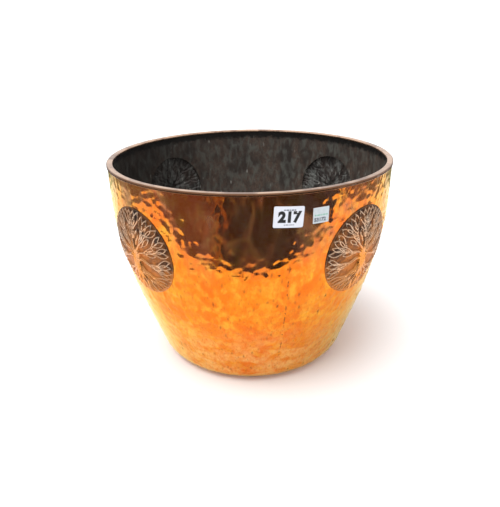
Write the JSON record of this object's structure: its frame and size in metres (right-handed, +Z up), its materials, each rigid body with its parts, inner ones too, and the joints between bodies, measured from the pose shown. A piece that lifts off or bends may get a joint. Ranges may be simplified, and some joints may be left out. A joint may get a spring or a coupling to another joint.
{
  "type": "hammered copper planter bowl",
  "caption": "Tapered hammered copper planter bowl with a flat rim ring, a rounded foot and domed repousse tree roundels spaced round its wall.",
  "frame": {"origin": "on the floor under the foot, on the bowl's axis", "axes": "+Z up along the bowl's axis; -Y is the front, midway between two roundels and beside the labels; +X is the bowl's right as seen from the front"},
  "size_m": [0.38, 0.38, 0.28],
  "materials": {
    "polished_copper": "polished and planished copper, lacquered, with small pits",
    "dull_copper": "oxidised brown copper",
    "rim_copper": "handled, slightly dulled pinkish copper",
    "roundel_copper": "chased copper, darkened ground with rubbed bright relief",
    "label_paper": "white coated paper with black printing",
    "label_film": "pale satin film with a green line and grey printing"
  },
  "bodies": {
    "root": {"body_wall": "polished_copper", "base_disc": "dull_copper", "rim_ring": "rim_copper", "roundel_front_left": "roundel_copper", "roundel_front_right": "roundel_copper", "roundel_back_left": "roundel_copper", "roundel_back_right": "roundel_copper", "lot_label": "label_paper", "stock_label": "label_film"}
  },
  "joints": []
}
